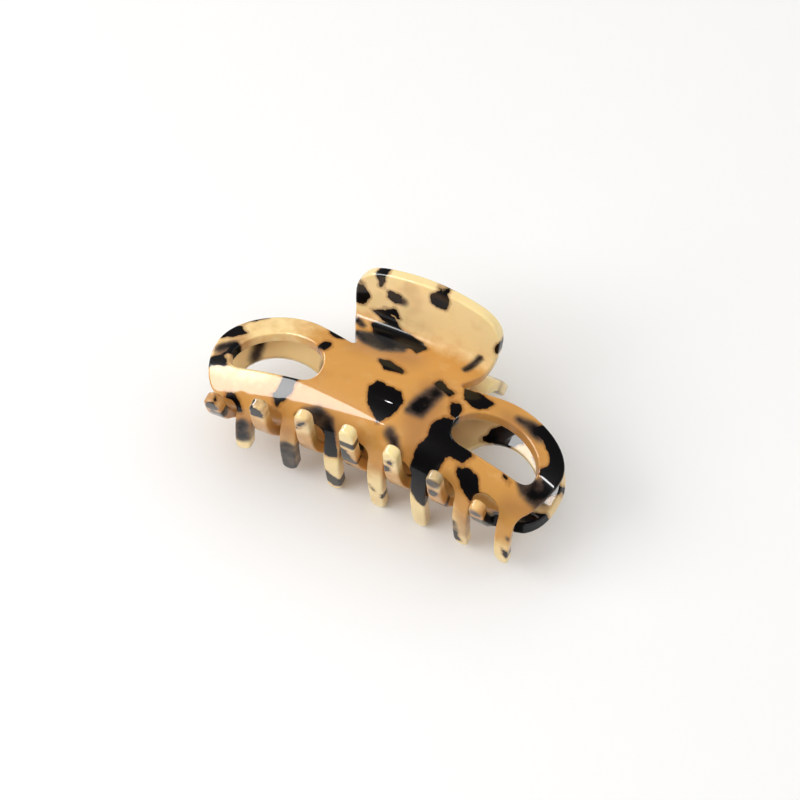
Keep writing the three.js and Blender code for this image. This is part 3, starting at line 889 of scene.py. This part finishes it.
def leg_end(up):
    """Where a spring leg's end rests, as (y, z): just inside the tab's face."""
    forward, height, slope = (float(v[0]) for v in section(np.array([float(SPRING_LEG_S)])))
    inside = SHEET / 2 + SPRING_WIRE / 2 + TOUCH_GAP
    y, z = -forward - inside * math.sin(slope), height - inside * math.cos(slope)
    return np.array([y, up * z])


def leg_angle(up):
    """The angle on the coil where a straight leg leaves it."""
    y, z = leg_end(up) - (HINGE_Y, 0)
    return math.atan2(z, y) - up * math.acos(SPRING_RADIUS / math.hypot(y, z))


def spring_path():
    """The middle of the wire: in along one leg, round the coil, and out along the other leg.

    The legs are straight, and cut 0.17 mm into the jaws where they pass the neck's bend.
    """
    start, finish = leg_angle(1), leg_angle(-1)
    wanted = SPRING_COILS * 2 * math.pi
    turn = wanted + (finish - start) % (2 * math.pi)
    share = np.linspace(0, 1, SPRING_COILS * COIL_STEPS)
    angle = start + turn * share
    x = SPRING_HALF_LENGTH * (2 * share - 1)
    y, z = HINGE_Y + SPRING_RADIUS * np.cos(angle), SPRING_RADIUS * np.sin(angle)
    coil = np.stack([x, y, z], -1)
    t = np.linspace(0, 1, LEG_STEPS)[:, None]
    first = np.array([-SPRING_HALF_LENGTH, *leg_end(1)])
    last = np.array([SPRING_HALF_LENGTH, *leg_end(-1)])
    legs = first + t * (coil[0] - first), coil[-1] + t * (last - coil[-1])
    return np.concatenate([legs[0], coil[1:-1], legs[1]])


def make_spring(material):
    """The torsion spring's wire, swept along its path with chamfered ends."""
    path = spring_path()
    ahead = unit(np.gradient(path, axis=0))
    across = unit(np.cross(ahead, (1, 0, 0)))
    over = np.cross(ahead, across)
    around = np.linspace(0, 2 * math.pi, WIRE_SIDES, endpoint=False)
    cos, sin = np.cos(around)[None, :, None], np.sin(around)[None, :, None]
    radius = np.full(len(path), SPRING_WIRE / 2)
    radius[[0, -1]] *= SPRING_TIP
    circles = cos * across[:, None] + sin * over[:, None]
    rings = path[:, None] + radius[:, None, None] * circles
    faces = []
    last = (len(path) - 1) * WIRE_SIDES
    for ring in range(0, last, WIRE_SIDES):
        for j in range(WIRE_SIDES):
            k = (j + 1) % WIRE_SIDES
            faces.append((ring + j, ring + WIRE_SIDES + j, ring + WIRE_SIDES + k, ring + k))
    faces.append(tuple(range(WIRE_SIDES)))
    faces.append(tuple(range(last, last + WIRE_SIDES))[::-1])
    piece = make_object("torsion_spring_wire", place(rings.reshape(-1, 3)), faces)
    piece.data.materials.append(material)
    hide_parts("torsion_spring")
    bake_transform(piece)
    return piece


# ----------------------------------------------------------------------------------------
# Floor, lights and camera

def direction(azimuth, elevation):
    """Unit vector towards that azimuth, measured from -Y towards +X, and elevation, in degrees."""
    a, e = math.radians(azimuth), math.radians(elevation)
    return Vector((math.sin(a) * math.cos(e), -math.cos(a) * math.cos(e), math.sin(e)))


FLOOR_CORNERS = [(-3, -3, 0), (3, -3, 0), (3, 3, 0), (-3, 3, 0)]  # metres
PAPER_DARK, PAPER_LIGHT = (0.86, 0.855, 0.845, 1), (0.88, 0.875, 0.865, 1)
SKY_COLOUR, SKY_STRENGTH = (1, 0.99, 0.975, 1), 0.1

# Area lights: the azimuth and elevation of each as seen from the hinge, its distance, the azimuth
# and elevation that its back points to, its width and height, its watts, its roll, and whether it
# makes reflections (gloss), lights the surfaces (diffuse), or does both
SOFTBOXES = (
    ("key_gloss", (-68.0, 41.1), 0.996, (-20, 30), (0.94, 0.64), 30, -34.4, "gloss"),
    ("glint", (-129, 73), 1.0, (-129, 73), (0.025, 0.02), 0.14, 0, "gloss"),
    ("tip_glints", (-114, 20), 1.0, (-114, 20), (0.25, 0.18), 5, 0, "gloss"),
    ("rim", (150, 50), 1.0, (150, 50), (0.2, 0.05), 1, 0, "gloss"),
    ("key_left", (-52, 38), 1.0, (-52, 38), (0.8, 0.5), 4.7, 0, "diffuse"),
    ("overhead", (180, 66), 1.4, (180, 66), (2.4, 2.0), 17.5, 0, "diffuse"),
    ("front", (-5, 58), 1.3, (-5, 55), (1.2, 0.8), 6.4, 0, "diffuse"),
    ("fill_right", (100, 28), 1.2, (100, 28), (0.8, 0.5), 2.2, 0, "both"),
)


def make_floor():
    floor = make_object("floor", FLOOR_CORNERS, [(0, 1, 2, 3)])
    nodes = Nodes("white_paper")
    tone = nodes.blend(nodes.noise(3, 2), PAPER_DARK, PAPER_LIGHT)
    nodes.feed(nodes.shader.inputs["Base Color"], tone)
    nodes.shader.inputs["Roughness"].default_value = 0.7
    nodes.shader.inputs["Specular IOR Level"].default_value = 0.2
    floor.data.materials.append(nodes.material)


def turned_to(back, roll):
    """The rotation of a lamp or camera whose back points that way, with a roll in degrees."""
    level = back.to_track_quat("Z", "Y").to_matrix()
    return (level @ Matrix.Rotation(math.radians(roll), 3, "Z")).to_euler()


def make_softbox(name, place, distance, facing, size, power, roll, part):
    light = bpy.data.lights.new(name, "AREA")
    light.shape = "RECTANGLE"
    light.size, light.size_y = size
    light.energy = power
    lamp = bpy.data.objects.new(name, light)
    lamp.location = HINGE + direction(*place) * distance
    lamp.rotation_euler = turned_to(direction(*facing), roll)
    lamp.visible_diffuse = part != "gloss"
    lamp.visible_glossy = part != "diffuse"
    bpy.context.scene.collection.objects.link(lamp)


def make_world():
    world = bpy.data.worlds.new("studio")
    world.use_nodes = True
    background = world.node_tree.nodes["Background"]
    background.inputs["Color"].default_value = SKY_COLOUR
    background.inputs["Strength"].default_value = SKY_STRENGTH
    bpy.context.scene.world = world


CAMERA_AZIMUTH = 27.06
CAMERA_ELEVATION = 57.57
CAMERA_ROLL = -1.07
CAMERA_DISTANCE = 1.1605
CAMERA_LENS = 195.7
AIM_OFFSET = Vector((-2.3, 4.9, -11.1)) * MM  # from the middle of the CAD box


def make_camera():
    back = direction(CAMERA_AZIMUTH, CAMERA_ELEVATION)
    camera = bpy.data.cameras.new("camera")
    camera.lens = CAMERA_LENS
    eye = bpy.data.objects.new("camera", camera)
    eye.location = (CAD_LOW + CAD_HIGH) / 2 + AIM_OFFSET + back * CAMERA_DISTANCE
    eye.rotation_euler = turned_to(back, CAMERA_ROLL)
    bpy.context.scene.collection.objects.link(eye)
    bpy.context.scene.camera = eye


# ----------------------------------------------------------------------------------------

bpy.context.scene.view_settings.view_transform = "Standard"
make_camera()
make_world()
make_floor()
for softbox in SOFTBOXES:
    make_softbox(*softbox)

sheet = jaw_plate()
make_jaw("upper", sheet, UPPER_SHARP, UPPER_SMOKY, UPPER_HAZE, UPPER_AMBER)
lower_sharp = LOWER_SHARP + tuple(scattered_patches())
make_jaw("lower", sheet, lower_sharp, LOWER_SMOKY, LOWER_HAZE, LOWER_AMBER)

lug_sheet = plate(lug_loops(), LUG_WIDTH, LUG_EDGE_RADIUS, LUG_FACE_STEP)
lug_acetate = plain_amber("amber_acetate")
for body in ("upper", "lower"):
    make_lug(body, "outer", LUG_OUTER_X, lug_sheet, lug_acetate)
    make_lug(body, "inner", -LUG_INNER_X, lug_sheet, lug_acetate)
make_pin(steel("drawn_steel", PIN_STEEL, PIN_GRAIN))
make_spring(steel("spring_wire", WIRE_STEEL, WIRE_GRAIN))
